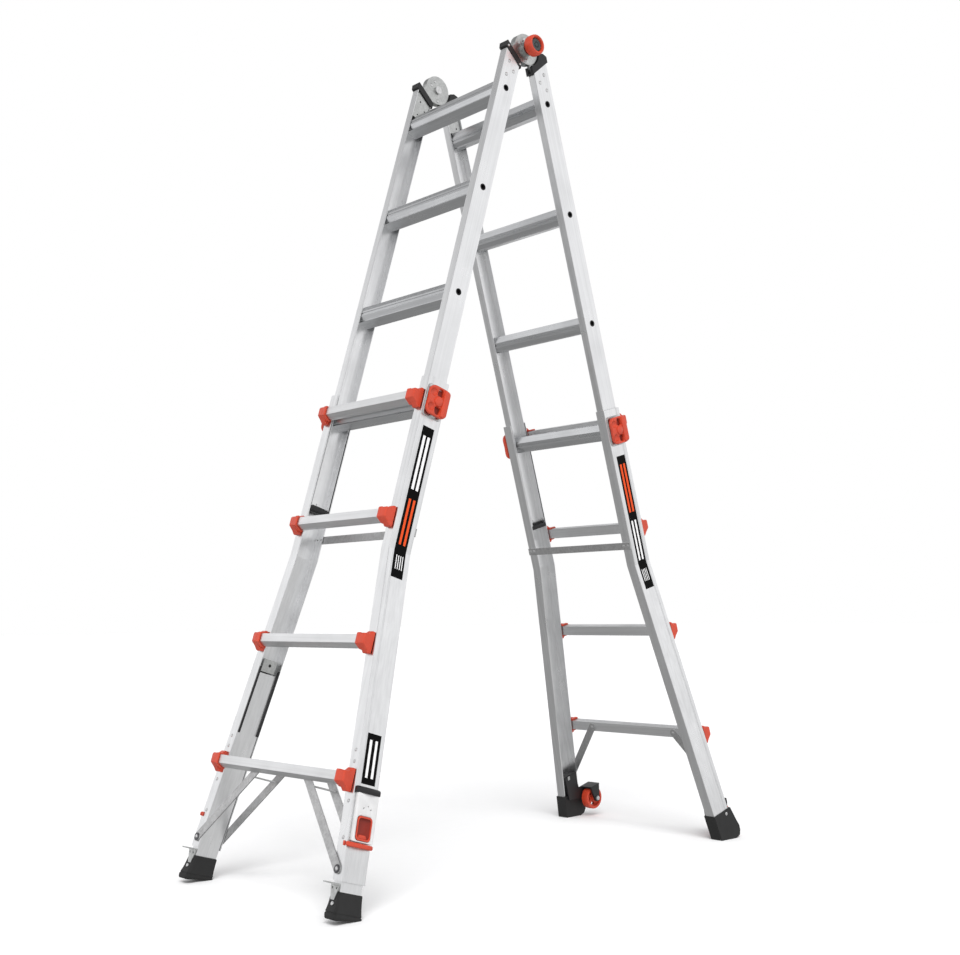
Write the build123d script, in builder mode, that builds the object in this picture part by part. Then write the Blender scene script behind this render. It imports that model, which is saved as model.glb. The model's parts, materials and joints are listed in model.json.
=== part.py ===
from build123d import *
import os
from math import atan2, cos, degrees, hypot, radians, sin, sqrt

# Telescopic multi position ladder standing open as an A-frame on level ground.
# Origin: on the floor at the centre of the footprint.
# +X runs along the rungs, -Y is the climbing side of the front leg, +Z is up.
# Each leg has its own frame: x along the rungs, n from the hinge axis toward the
# climbing side, s down the rail from the hinge axis.

# Stance
hinge_height = 2157.0
hinge_y = 9.75
front_lean = 17.0
rear_lean = 15.5

# Rung ladder
pitch = 304.8
first_rung = 150.0
rung_s = [first_rung + pitch * k for k in range(7)]
inner_rung_s = rung_s[:4]
outer_rung_s = rung_s[3:]

# Side rails
rail_mid = 39.0
inner_half = 194.0
inner_depth = 57.0
inner_reach = 24.0
inner_wall = 2.5
inner_end = 1312.0
outer_half = 200.0
outer_depth = 67.0
outer_reach = 30.5
outer_web = 2.8
outer_wall = 3.0
groove_n = [56.5, 60.0]
outer_top = 1003.0
bend = 1445.0
flare = 0.138
outer_end = {"front": 2188.0, "rear": 2190.0}

# Slanted top ends of the inner rails
top_cut_front = 38.0
top_cut_back = 66.0

# Rungs
inner_rung_half = 191.4
web_hole_r = 6.75
rung_bore_r = 6.9
outer_rung_inset = 18.0

# Hinge
disc_r = 42.0
axle_r = 7.0
knob_r = 28.0

# Rocking locks
lock_s = outer_rung_s[0]
lock_w = 66.0
lock_h = 75.0
lock_back = 33.0
lock_pin_r = 6.0
pivot_x = 206.0
pivot_r = 2.5
grip_bar_n = {"front": -26.0, "rear": 26.0}

# Levelers
tube_out = -3.3
tube_in = -28.0
tube_top = 1752.0
tube_end = 2240.0

# Wheels
wheel_x = 245.0
wheel_n = 97.0
wheel_s = 2206.0
wheel_r = 34.0
wheel_hub_r = 9.5
wheel_rim = 8.0
wheel_w = 26.0
wheel_axle_r = 4.0

rivet_r = 2.4
rivet_head_r = 4.5
rivet_head = 1.4
low_head = 1.2
running = 0.05

# Flat steel straps and braces
steel = 3.0
strap_s = 1388.0
strap_length = 398.0
strap_w = 20.0
strap_rivet_x = [176.0, 191.0]
brace_w = 22.0
brace_head = {"front": (89.0, 1976.0), "rear": (157.0, 1961.0)}
brace_foot_s = {"front": 2165.0, "rear": 2112.0}
brace_foot_inset = 16.0
brace_bridge_s = 2005.5

inner_n0 = rail_mid - inner_depth / 2
inner_n1 = rail_mid + inner_depth / 2
outer_n0 = rail_mid - outer_depth / 2
outer_n1 = rail_mid + outer_depth / 2
back_n = outer_n0 - steel
brace_n = {"front": (back_n, outer_n1), "rear": (outer_n1,)}

hinge_point = (0, hinge_y, hinge_height)
legs = {
    "front": Plane(
        origin=hinge_point,
        x_dir=(1, 0, 0),
        z_dir=(0, sin(radians(front_lean)), cos(radians(front_lean))),
    ),
    "rear": Plane(
        origin=hinge_point,
        x_dir=(-1, 0, 0),
        z_dir=(0, -sin(radians(rear_lean)), cos(radians(rear_lean))),
    ),
}
lean = {"front": front_lean, "rear": rear_lean}

# Which end of the leg's own x axis lies on the ladder's left and right
hands = {"front": (("left", -1), ("right", 1)), "rear": (("left", 1), ("right", -1))}


def cross_plane(leg, s):
    """Across the rails at s: sketch axes x and n, normal down the rail."""
    return Plane(origin=leg.from_local_coords((0, 0, -s)), x_dir=leg.x_dir, z_dir=-leg.z_dir)


def web_plane(leg, x):
    """Parallel to the rail webs at x: sketch axes n and up-rail, normal toward -x."""
    return Plane(origin=leg.from_local_coords((x, 0, 0)), x_dir=-leg.y_dir, z_dir=-leg.x_dir)


def face_plane(leg, n):
    """Parallel to the leg's face at n: sketch axes x and up-rail, normal toward +n."""
    return Plane(origin=leg.from_local_coords((0, -n, 0)), x_dir=leg.x_dir, z_dir=-leg.y_dir)


def web_at(s):
    """Outer face of the outer rail's web, straight above the bend and flared below it."""
    return outer_half + max(0.0, s - bend) * flare


def ground_s(name, n):
    """Where the floor cuts a line at depth n in a leg."""
    a = radians(lean[name])
    return (hinge_height + n * sin(a)) / cos(a)


def polygon(points, n=0.0, s=0.0, mode=Mode.ADD):
    """Face through (n, up) points, shifted to depth n and distance s."""
    Polygon(*[(a + n, b - s) for a, b in points], align=None, mode=mode)


def channel(side, x_out, reach, n0, n1, web, wall):
    """C-section opening inboard with rounded corners."""
    with Locations((side * (x_out - reach / 2), (n0 + n1) / 2)):
        RectangleRounded(reach, n1 - n0, 2.2)
    with Locations((side * (x_out - web - reach / 2), (n0 + n1) / 2)):
        Rectangle(reach, n1 - n0 - 2 * wall, mode=Mode.SUBTRACT)


def run_flared(leg, side, ds, section=None, mode=Mode.ADD):
    """Extrude a section ds down the leg, following the flare."""
    along = leg.x_dir * (side * flare) - leg.z_dir
    extrude(section, amount=ds * sqrt(1 + flare * flare), dir=along, mode=mode)


def flared_block(leg, side, s_range, x_range, n_range, mode=Mode.ADD):
    """Block following the flare; x_range is measured from the web's outer face."""
    s0, s1 = s_range
    x0, x1 = x_range
    n0, n1 = n_range
    with BuildSketch(cross_plane(leg, s0)) as section:
        with Locations((side * (web_at(s0) + (x0 + x1) / 2), (n0 + n1) / 2)):
            Rectangle(x1 - x0, n1 - n0)
    run_flared(leg, side, s1 - s0, section.sketch, mode)


def disc(seat, points, r, depth, mode=Mode.ADD):
    """Round bars or holes of one length, starting on the seat plane."""
    with BuildSketch(seat) as section:
        with Locations(*points):
            Circle(r)
    extrude(section.sketch, amount=depth, mode=mode)


def drill(seat, points, r, depth):
    disc(seat, points, r, depth, Mode.SUBTRACT)


def rivets(seat, points, out, head, shank):
    """Shanks behind the seat and stepped heads in front of it; out is the sign of the head side."""
    disc(seat, points, rivet_r, -out * shank)
    disc(seat, points, rivet_head_r, out * head * 0.6)
    disc(seat, points, rivet_head_r * 0.72, out * head)


def save(part, label):
    part.label = label
    export_step(part, f"parts/{label}.step")


os.makedirs("parts", exist_ok=True)

hinge_rivets = [(48, -70), (27, -91), (48, -112)]
guide_rivet = [(rail_mid, -1300)]
flange_rivet_s = [1915.0, 1940.0, 2024.0, 2100.0]
flange_rivet_inset = 14.0
lock_rivets = [(rail_mid - 26, -lock_s + 34), (rail_mid + 26, -lock_s - 34)]
foot_rivet = (55.0, 2182.0)


# Inner side rails
for name, leg in legs.items():
    for hand, side in hands[name]:
        with BuildPart() as inner_rail:
            with BuildSketch(cross_plane(leg, 40)):
                channel(side, inner_half, inner_reach, inner_n0, inner_n1, inner_wall, inner_wall)
            extrude(amount=inner_end - 40)
            slope = (top_cut_back - top_cut_front) / inner_depth
            with BuildSketch(web_plane(leg, side * 182)):
                polygon(
                    [
                        (inner_n0 - 5, -top_cut_back - 5 * slope),
                        (inner_n1 + 5, -top_cut_front + 5 * slope),
                        (inner_n1 + 5, -20),
                        (inner_n0 - 5, -20),
                    ]
                )
            extrude(amount=20, both=True, mode=Mode.SUBTRACT)
            with BuildSketch(web_plane(leg, side * 193)):
                with Locations(*[(rail_mid, -s) for s in inner_rung_s]):
                    Circle(web_hole_r)
                with Locations(*hinge_rivets, *guide_rivet):
                    Circle(rivet_r)
            extrude(amount=4, both=True, mode=Mode.SUBTRACT)
        save(inner_rail.part, f"{name}_inner_rail_{hand}")


# Inner rungs: eight-sided hollow extrusions with a tube through the middle
nose = [(17, 23), (25.3, 6), (25.3, 1), (23.9, 0), (23.9, -2), (25.3, -3), (25.3, -8), (19, -20), (19, -23)]
rung_outline = nose + [(-a, b) for a, b in reversed(nose)]
void_edge = [(15.6, 20.6), (22.8, 5.6), (21.6, 0.4), (21.6, -2.4), (22.8, -7.4), (16.7, -19), (16.7, -20.8)]
void = [(1.1, 20.6)] + void_edge + [(1.1, -20.8)]
other_void = [(-a, b) for a, b in reversed(void)]

for name, leg in legs.items():
    with BuildPart() as inner_rungs:
        with BuildSketch(web_plane(leg, inner_rung_half)):
            for s in inner_rung_s:
                polygon(rung_outline, rail_mid, s)
                polygon(void, rail_mid, s, Mode.SUBTRACT)
                polygon(other_void, rail_mid, s, Mode.SUBTRACT)
                with Locations((rail_mid, -s)):
                    Circle(rung_bore_r + 2.4)
                    Circle(rung_bore_r, mode=Mode.SUBTRACT)
                with Locations(*[(rail_mid + 4.4 * i, -s + 23) for i in range(-3, 4)]):
                    Rectangle(1.6, 2.0, mode=Mode.SUBTRACT)
        extrude(amount=2 * inner_rung_half)
    save(inner_rungs.part, f"{name}_inner_rungs")


# Slide guides: a plug inside each inner rail's foot and a shoe below it
for name, leg in legs.items():
    with BuildPart() as slide_guides:
        for side in (-1, 1):
            with BuildSketch(cross_plane(leg, inner_end - 22)):
                with Locations((side * 181, rail_mid)):
                    RectangleRounded(20.6, 50.6, 1.5)
            extrude(amount=24)
            with BuildSketch(cross_plane(leg, inner_end)):
                with Locations((side * 183.35, rail_mid)):
                    RectangleRounded(26.7, 60, 2)
            extrude(amount=12)
            with BuildSketch(web_plane(leg, side * 193)):
                with Locations(*guide_rivet):
                    Circle(rivet_r)
            extrude(amount=side * 18, mode=Mode.SUBTRACT)
    save(slide_guides.part, f"{name}_slide_guides")


# Hinge plates: two layers on each leg, interleaved along the axle
plate_layers = {"front": [(172.5, 176.5), (187.5, 191.5)], "rear": [(177.0, 181.0), (182.5, 186.5)]}
plate_arm = [(-2, -10), (-2, -30), (14, -62), (14, -124), (64, -124), (64, -50), (41, -10), (20, 0)]

for name, leg in legs.items():
    with BuildPart() as hinge_plates:
        for side in (-1, 1):
            for x0, x1 in plate_layers[name]:
                with BuildSketch(web_plane(leg, side * x1)):
                    Circle(disc_r)
                    polygon(plate_arm)
                    Circle(axle_r if name == "front" else axle_r + running, mode=Mode.SUBTRACT)
                    with Locations(*hinge_rivets):
                        Circle(rivet_r, mode=Mode.SUBTRACT)
                extrude(amount=side * (x1 - x0))
            if name == "front":
                with BuildSketch(web_plane(leg, side * 191.5)):
                    Circle(19.5)
                    Circle(axle_r, mode=Mode.SUBTRACT)
                extrude(amount=-side * 8.9)
    save(hinge_plates.part, f"{name}_hinge_plates")

with BuildPart() as hinge_axles:
    for side in (-1, 1):
        with BuildSketch(web_plane(legs["front"], side * 170)):
            Circle(axle_r)
        extrude(amount=-side * 50)
        with BuildSketch(web_plane(legs["front"], side * 170)):
            Circle(11)
        extrude(amount=side * 3)
        with BuildSketch(web_plane(legs["front"], side * 172.4)):
            Circle(11)
        extrude(amount=side * 2.4)
save(hinge_axles.part, "hinge_axles")


# Palm knobs: hollow, sliding on the axle's free end
for hand, side in hands["front"]:
    with BuildPart() as palm_knob:
        with BuildSketch(Plane(origin=hinge_point, x_dir=(side, 0, 0), z_dir=(0, -side, 0))):
            with BuildLine():
                Polyline(
                    (210, knob_r - 5),
                    (210, knob_r - 2),
                    (213, knob_r),
                    (228, knob_r),
                    (234, knob_r - 2),
                    (236, knob_r - 5),
                    (236, knob_r - 9),
                    (231.5, knob_r - 13),
                    (230, 0),
                    (226.5, 0),
                    (226.5, axle_r + running),
                    (207, axle_r + running),
                    (207, 11),
                    (224, 11),
                    (226, 13),
                    (226, knob_r - 9),
                    (224, knob_r - 5),
                    close=True,
                )
            make_face()
        revolve(axis=Axis(hinge_point, (1, 0, 0)))
    save(palm_knob.part, f"hinge_knob_{hand}")


# Trims closing the slanted rail tops, slotted for the hinge plates
for name, leg in legs.items():
    with BuildPart() as hinge_trims:
        for side in (-1, 1):
            with BuildSketch(web_plane(leg, side * 195.5)):
                if name == "front":
                    polygon([(6, -67.9), (72, -35.5), (74, -22), (70, -17), (6, -49)])
                else:
                    polygon([(6, -67.9), (72, -35.5), (72, -20), (60, -12), (40, -12), (6, -34)])
                    Circle(disc_r + 4, mode=Mode.SUBTRACT)
            extrude(amount=side * 27)
            slots = [(172.4, 176.6), (187.4, 191.6)] if name == "front" else [(176.9, 186.6)]
            for x0, x1 in slots:
                with BuildSketch(web_plane(leg, side * x1)):
                    polygon([(-1, -10), (-1, -63), (13.8, -63), (13.8, -110), (64.2, -110), (64.2, -10)])
                extrude(amount=side * (x1 - x0), mode=Mode.SUBTRACT)
    save(hinge_trims.part, f"{name}_hinge_trims")

for name, leg in legs.items():
    with BuildPart() as inner_rivets:
        for side in (-1, 1):
            seat = web_plane(leg, side * inner_half)
            rivets(seat, hinge_rivets, -side, rivet_head, inner_half - plate_layers[name][0][0] + 1)
            rivets(seat, guide_rivet, -side, rivet_head, 18)
    save(inner_rivets.part, f"{name}_inner_rivets")


# Outer side rails: straight to the bend, then splayed outward
for name, leg in legs.items():
    foot = brace_foot_s[name]
    for hand, side in hands[name]:
        with BuildPart() as outer_rail:
            with BuildSketch(cross_plane(leg, outer_top)):
                channel(side, outer_half, outer_reach, outer_n0, outer_n1, outer_web, outer_wall)
            extrude(amount=bend - outer_top)
            with BuildSketch(cross_plane(leg, bend)):
                channel(side, outer_half, outer_reach, outer_n0, outer_n1, outer_web, outer_wall)
            run_flared(leg, side, outer_end[name] - bend)
            with BuildSketch(cross_plane(leg, outer_top)):
                with Locations(*[(side * outer_half, n) for n in groove_n]):
                    Rectangle(1.0, 1.2)
            extrude(amount=bend - outer_top, mode=Mode.SUBTRACT)
            with BuildSketch(cross_plane(leg, bend)):
                with Locations(*[(side * outer_half, n) for n in groove_n]):
                    Rectangle(1.0, 1.2)
            run_flared(leg, side, outer_end[name] - bend, mode=Mode.SUBTRACT)
            drill(web_plane(leg, side * 202), [(rail_mid, -lock_s)], lock_pin_r + running, side * 8)
            drill(web_plane(leg, side * 202), lock_rivets, rivet_r, side * 8)
            brace_rivet = [(side * (web_at(foot) - brace_foot_inset), -foot)]
            drill(face_plane(leg, outer_n0 - 1), [(side * x, -strap_s) for x in strap_rivet_x], rivet_r, 6)
            drill(face_plane(leg, outer_n1 - 4), brace_rivet, rivet_r, 6)
            if name == "front":
                drill(face_plane(leg, outer_n0 - 1), brace_rivet, rivet_r, 6)
                flange_points = [(side * (web_at(s) - flange_rivet_inset), -s) for s in flange_rivet_s]
                drill(face_plane(leg, outer_n1 - 4), flange_points, rivet_r, 6)
            else:
                n_rivet, s_rivet = foot_rivet
                foot_seat = web_plane(leg, side * (web_at(s_rivet) + 4))
                drill(foot_seat, [(n_rivet, -s_rivet)], rivet_r, side * 12)
        save(outer_rail.part, f"{name}_outer_rail_{hand}")


# Outer rungs: narrow hollow treads carried in front of the rails
outer_rung_outline = [(75.5, 14), (98.5, 14), (98.5, -6), (84, -14), (75.5, -14)]
outer_rung_void = [(77.7, 11.6), (96.3, 11.6), (96.3, -4.8), (83.5, -11.8), (77.7, -11.8)]
rung_drop = {"front": 2.0, "rear": -18.0}

for name, leg in legs.items():
    with BuildPart() as outer_rungs:
        for s in outer_rung_s:
            half = web_at(s) - outer_rung_inset
            with BuildSketch(web_plane(leg, half)):
                polygon(outer_rung_outline, 0, s + rung_drop[name])
                polygon(outer_rung_void, 0, s + rung_drop[name], Mode.SUBTRACT)
                with Locations(*[(79.5 + 3.8 * i, -s - rung_drop[name] + 14) for i in range(5)]):
                    Rectangle(1.4, 1.8, mode=Mode.SUBTRACT)
            extrude(amount=2 * half)
        x_head, s_head = brace_head[name]
        drill(face_plane(leg, 75), [(side * x_head, -s_head) for side in (-1, 1)], rivet_r, 4)
    save(outer_rungs.part, f"{name}_outer_rungs")

bracket_outline = [
    (72.5, 25),
    (80, 26),
    (88, 18),
    (100, 17),
    (102.5, 14),
    (102.5, -7),
    (90, -17),
    (82, -26),
    (72.5, -25),
]
cup_outline = [(77, 18), (101, 18), (102.5, 15), (102.5, -8), (86, -18), (77, -18)]

for name, leg in legs.items():
    with BuildPart() as rung_brackets:
        for s in outer_rung_s:
            for side in (-1, 1):
                with BuildSketch(web_plane(leg, side * (web_at(s) - 5))):
                    polygon(bracket_outline, 0, s + rung_drop[name])
                extrude(amount=side * 20)
                with BuildSketch(web_plane(leg, side * (web_at(s) - 25))):
                    polygon(cup_outline, 0, s + rung_drop[name])
                extrude(amount=side * 11)
                with BuildSketch(web_plane(leg, side * (web_at(s) - outer_rung_inset))):
                    polygon(outer_rung_outline, 0, s + rung_drop[name])
                extrude(amount=side * 30, mode=Mode.SUBTRACT)
    save(rung_brackets.part, f"{name}_rung_brackets")


# Flat strap tying the outer rails together at the bend
for name, leg in legs.items():
    with BuildPart() as cross_strap:
        with BuildSketch(face_plane(leg, back_n)):
            with Locations((0, -strap_s)):
                Rectangle(strap_length, strap_w)
            with Locations(*[(k * x, -strap_s) for x in strap_rivet_x for k in (-1, 1)]):
                Circle(rivet_r, mode=Mode.SUBTRACT)
        extrude(amount=steel)
    save(cross_strap.part, f"{name}_cross_strap")


# Diagonal braces from the lowest rung to the rails: on the front leg a bar on both faces
# of the rail, bridged just below the rung; on the rear leg one bar on the outer face
for name, leg in legs.items():
    foot = brace_foot_s[name]
    x0, s0 = brace_head[name]
    x1 = web_at(foot) - brace_foot_inset
    length = hypot(x1 - x0, foot - s0)
    with BuildPart() as braces:
        for side in (-1, 1):
            turn = degrees(atan2(s0 - foot, side * (x1 - x0)))
            for n in brace_n[name]:
                with BuildSketch(face_plane(leg, n)):
                    with Locations((side * (x0 + x1) / 2, -(s0 + foot) / 2)):
                        SlotCenterToCenter(length, brace_w, rotation=turn)
                    with Locations((side * x1, -foot)):
                        Circle(rivet_r, mode=Mode.SUBTRACT)
                extrude(amount=steel)
            if name == "front":
                x_bridge = x0 + (brace_bridge_s - s0) * (x1 - x0) / (foot - s0)
                with BuildSketch(face_plane(leg, back_n)):
                    with Locations((side * x_bridge, -brace_bridge_s)):
                        Rectangle(brace_w, steel)
                extrude(amount=outer_n1 + steel - back_n)
            drill(face_plane(leg, outer_n1 - 1), [(side * x0, -s0)], rivet_r, steel + 2)
    save(braces.part, f"{name}_braces")


# Lock housings: a base on the web with two ears that carry the lever
for name, leg in legs.items():
    with BuildPart() as lock_housings:
        for side in (-1, 1):
            with BuildSketch(web_plane(leg, side * outer_half)):
                with Locations((rail_mid, -lock_s)):
                    RectangleRounded(lock_w - 4, lock_h + 8, 8)
                    Circle(lock_pin_r + running, mode=Mode.SUBTRACT)
                with Locations(*lock_rivets):
                    Circle(rivet_r, mode=Mode.SUBTRACT)
            extrude(amount=-side * 3)
            with BuildSketch(web_plane(leg, side * 203)):
                with Locations((rail_mid, -lock_s + 35.5), (rail_mid, -lock_s - 35.5)):
                    Rectangle(15, 10)
            extrude(amount=-side * 6.5)
            drill(cross_plane(leg, lock_s - 45), [(side * pivot_x, rail_mid)], pivot_r, 90)
    save(lock_housings.part, f"{name}_lock_housings")


# Lock levers: rocking paddles, relieved behind, with a hub over the lock pin
for name, leg in legs.items():
    for hand, side in hands[name]:
        with BuildPart() as lock_lever:
            with BuildSketch(cross_plane(leg, lock_s - lock_h / 2)):
                with BuildLine():
                    Polyline(
                        (side * 204.2, rail_mid - 6),
                        (side * 204.2, rail_mid + 6),
                        (side * 209.2, rail_mid + lock_back),
                        (side * 216, rail_mid + lock_back),
                        (side * 216, rail_mid - lock_back),
                        (side * 209.2, rail_mid - lock_back),
                        close=True,
                    )
                make_face()
            extrude(amount=lock_h)
            with BuildSketch(web_plane(leg, side * outer_half)):
                with Locations((rail_mid, -lock_s)):
                    RectangleRounded(lock_w, lock_h, 11)
            extrude(amount=-side * 30, mode=Mode.INTERSECT)
            with BuildSketch(web_plane(leg, side * 215)):
                with Locations((rail_mid + grip_bar_n[name], -lock_s)):
                    RectangleRounded(12, 58, 5)
            extrude(amount=-side * 4)
            with BuildSketch(web_plane(leg, side * 215)):
                with Locations((rail_mid, -lock_s)):
                    Circle(13)
            extrude(amount=-side * 6)
            with BuildSketch(web_plane(leg, side * outer_half)):
                with Locations((rail_mid, -lock_s + 35), (rail_mid, -lock_s - 35)):
                    Rectangle(18, 15)
            extrude(amount=-side * 30, mode=Mode.SUBTRACT)
            with BuildSketch(web_plane(leg, side * outer_half)):
                with Locations((rail_mid, -lock_s)):
                    Circle(9)
            extrude(amount=-side * 17, mode=Mode.SUBTRACT)
            drill(cross_plane(leg, lock_s - 45), [(side * pivot_x, rail_mid)], pivot_r + running, 90)
        save(lock_lever.part, f"{name}_lock_lever_{hand}")

        with BuildPart() as lock_pin:
            with BuildSketch(web_plane(leg, side * 196.2)):
                with Locations((rail_mid, -lock_s)):
                    Circle(lock_pin_r)
            extrude(amount=-side * 17.8)
            chamfer(lock_pin.edges().filter_by(GeomType.CIRCLE), 0.8)
        save(lock_pin.part, f"{name}_lock_pin_{hand}")


# Rivets and pivots fixed in the outer sections
for name, leg in legs.items():
    foot = brace_foot_s[name]
    with BuildPart() as outer_rivets:
        for side in (-1, 1):
            strap_rivets = [(side * x, -strap_s) for x in strap_rivet_x]
            brace_rivet = [(side * (web_at(foot) - brace_foot_inset), -foot)]
            head_rivet = [(side * brace_head[name][0], -brace_head[name][1])]
            through = steel + outer_wall - 0.1
            rivets(face_plane(leg, back_n), strap_rivets, -1, low_head, through)
            rivets(face_plane(leg, outer_n1 + steel), brace_rivet, 1, rivet_head, through)
            rivets(face_plane(leg, outer_n1), head_rivet, -1, low_head, steel + 2.1)
            if name == "front":
                rivets(face_plane(leg, back_n), brace_rivet, -1, low_head, through)
                flange_points = [(side * (web_at(s) - flange_rivet_inset), -s) for s in flange_rivet_s]
                rivets(face_plane(leg, outer_n1), flange_points, 1, rivet_head, outer_wall)
            else:
                n_rivet, s_rivet = foot_rivet
                foot_seat = web_plane(leg, side * (web_at(s_rivet) + 2.2))
                rivets(foot_seat, [(n_rivet, -s_rivet)], -side, rivet_head, 10)
            with BuildSketch(web_plane(leg, side * 203)):
                with Locations(*lock_rivets):
                    Circle(rivet_r)
            extrude(amount=side * 5.7)
            for s_ear in (lock_s - 40.5, lock_s + 11.5):
                with BuildSketch(cross_plane(leg, s_ear)):
                    with Locations((side * pivot_x, rail_mid)):
                        Circle(pivot_r)
                extrude(amount=29)
    save(outer_rivets.part, f"{name}_outer_rivets")


# Levelers of the front leg: a tube telescoping out of each flared rail
front = legs["front"]
tube_mid = (tube_out + tube_in) / 2

# Rubber boot sections down the rail: distance, middle depth, width, depth
boot_corner = 5.0
boot_rings = [
    (2209.0, 39.0, 32.0, 65.0),
    (2236.0, 40.0, 36.0, 69.0),
    (2250.0, 41.0, 40.0, 75.0),
    (2259.0, 41.0, 41.0, 77.0),
    (2266.0, 41.0, 37.0, 72.0),
]

for hand, side in hands["front"]:
    with BuildPart() as leveler_leg:
        flared_block(front, side, (tube_top, tube_end), (tube_in, tube_out), (9.5, 68.5))
        flared_block(front, side, (tube_top, tube_end), (tube_in + 2.5, tube_out - 2.5), (12, 66), Mode.SUBTRACT)
    save(leveler_leg.part, f"leveler_leg_{hand}")

    with BuildPart() as leveler_foot:
        for s, n_mid, width, depth in boot_rings:
            with BuildSketch(cross_plane(front, s)):
                with Locations((side * (web_at(s) + tube_mid), n_mid)):
                    RectangleRounded(width, depth, boot_corner)
        loft(ruled=True)
        with Locations((side * 290, -700, -60)):
            Box(300, 500, 120, mode=Mode.SUBTRACT)
        flared_block(front, side, (2200, tube_end), (tube_in, tube_out), (9.5, 68.5), Mode.SUBTRACT)
        flared_block(front, side, (2200, 2229), (tube_mid - 21, tube_mid + 21), (71.9, 90), Mode.SUBTRACT)
    save(leveler_foot.part, f"leveler_foot_{hand}")

    with BuildPart() as foot_pedal:
        flared_block(front, side, (2193, 2196), (tube_mid - 12, tube_mid + 12), (68.5, 98))
        flared_block(front, side, (2196, 2208), (tube_mid - 9, tube_mid + 9), (68.5, 72))
        with BuildSketch(face_plane(front, 72)):
            with BuildLine():
                x_mid = side * (web_at(2205) + tube_mid)
                Polyline(
                    (x_mid - 15, -2196),
                    (x_mid + 15, -2196),
                    (x_mid + 6, -2227),
                    (x_mid - 6, -2227),
                    close=True,
                )
            make_face()
            with Locations((x_mid - 7, -2203), (x_mid + 7, -2203)):
                Circle(2.5, mode=Mode.SUBTRACT)
        extrude(amount=2.5)
    save(foot_pedal.part, f"foot_pedal_{hand}")

    with BuildPart() as leveler_button:
        flared_block(front, side, (2051, 2099), (4, 9.5), (19, 59))
        with BuildSketch(web_plane(front, side * (web_at(2075) + 6.8))):
            with Locations((rail_mid, -2075)):
                RectangleRounded(30, 38, 9)
        with BuildSketch(web_plane(front, side * (web_at(2075) + 13))):
            with Locations((rail_mid, -2075)):
                RectangleRounded(38, 46, 9)
        loft(mode=Mode.SUBTRACT)
    save(leveler_button.part, f"leveler_button_{hand}")

with BuildPart() as leveler_liners:
    for side in (-1, 1):
        flared_block(front, side, (1738, 1905), (-33, -28.2), (8.6, 13))
        flared_block(front, side, (1738, 1905), (-33, -28.2), (65, 69.4))
save(leveler_liners.part, "leveler_liners")

with BuildPart() as leveler_pawls:
    for side in (-1, 1):
        flared_block(front, side, (1716, 1748), (-25, -3), (20, 60))
        drill(web_plane(front, side * (web_at(1730) - 2)), [(rail_mid, -1730)], 4, side * 30)
save(leveler_pawls.part, "leveler_pawls")

with BuildPart() as leveler_housings:
    for side in (-1, 1):
        flared_block(front, side, (2002, 2104), (0, 10), (8, 66))
        flared_block(front, side, (2049, 2101), (-1, 12), (18, 60), Mode.SUBTRACT)
save(leveler_housings.part, "leveler_housings")

with BuildPart() as leveler_caps:
    for side in (-1, 1):
        for s0, s1, x1 in ((1994, 2002, 14), (1989, 1994, 11)):
            inset = 4 if x1 > 12 else 12
            flared_block(front, side, (s0, s1), (0, x1), (2 + inset, 72 - inset))
save(leveler_caps.part, "leveler_caps")

with BuildPart() as leveler_guard_bars:
    for side in (-1, 1):
        with BuildSketch(cross_plane(front, 2106)):
            x_web = web_at(2106)
            with BuildLine():
                Line((side * x_web, 4), (side * x_web, 74))
                ThreePointArc((side * x_web, 74), (side * (x_web + 16), rail_mid), (side * x_web, 4))
            make_face()
        run_flared(front, side, 12)
save(leveler_guard_bars.part, "leveler_guard_bars")


# Rear feet: sleeves over the rail ends, flat on the floor
rear = legs["rear"]
with BuildPart() as rear_feet:
    for side in (-1, 1):
        flared_block(rear, side, (2172, 2275), (-34, 3), (3.5, 97))
    with BuildSketch(web_plane(rear, -400)):
        with BuildLine():
            Polyline(
                (3.5, -2160),
                (3.5, -ground_s("rear", 3.5)),
                (66, -ground_s("rear", 66)),
                (84, -2254),
                (92, -2243),
                (94, -2230),
                (88, -2210),
                (76, -2160),
                close=True,
            )
        make_face()
    extrude(amount=-800, mode=Mode.INTERSECT)
    for side in (-1, 1):
        with BuildSketch(cross_plane(rear, 2160)):
            channel(side, web_at(2160), outer_reach, outer_n0, outer_n1, outer_web, outer_wall)
        run_flared(rear, side, outer_end["rear"] - 2160, mode=Mode.SUBTRACT)
        n_rivet, s_rivet = foot_rivet
        drill(web_plane(rear, side * (web_at(s_rivet) + 8)), [(n_rivet, -s_rivet)], rivet_r, side * 15.8)
        drill(web_plane(rear, side * (web_at(s_rivet) + 8)), [(n_rivet, -s_rivet)], 5, side * 5.8)
save(rear_feet.part, "rear_feet")


# Wheels and their brackets beside the rear feet
for hand, side in hands["rear"]:
    with BuildPart() as wheel:
        with BuildSketch(web_plane(rear, side * (wheel_x + wheel_w / 2))):
            with Locations((wheel_n, -wheel_s)):
                Circle(wheel_r)
                Circle(wheel_r - wheel_rim, mode=Mode.SUBTRACT)
        extrude(amount=side * wheel_w)
        with BuildSketch(web_plane(rear, side * (wheel_x + wheel_w / 2 + 1))):
            with Locations((wheel_n, -wheel_s)):
                Circle(wheel_hub_r)
        extrude(amount=side * (wheel_w + 5))
        with BuildSketch(web_plane(rear, side * (wheel_x + 5))):
            with Locations((wheel_n, -wheel_s)):
                Circle(wheel_r - wheel_rim + 1)
                with PolarLocations(17.5, 5):
                    Circle(5.5, mode=Mode.SUBTRACT)
        extrude(amount=side * 10)
        drill(web_plane(rear, side * 280), [(wheel_n, -wheel_s)], wheel_axle_r + running, side * 80)
    save(wheel.part, f"wheel_{hand}")

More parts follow.
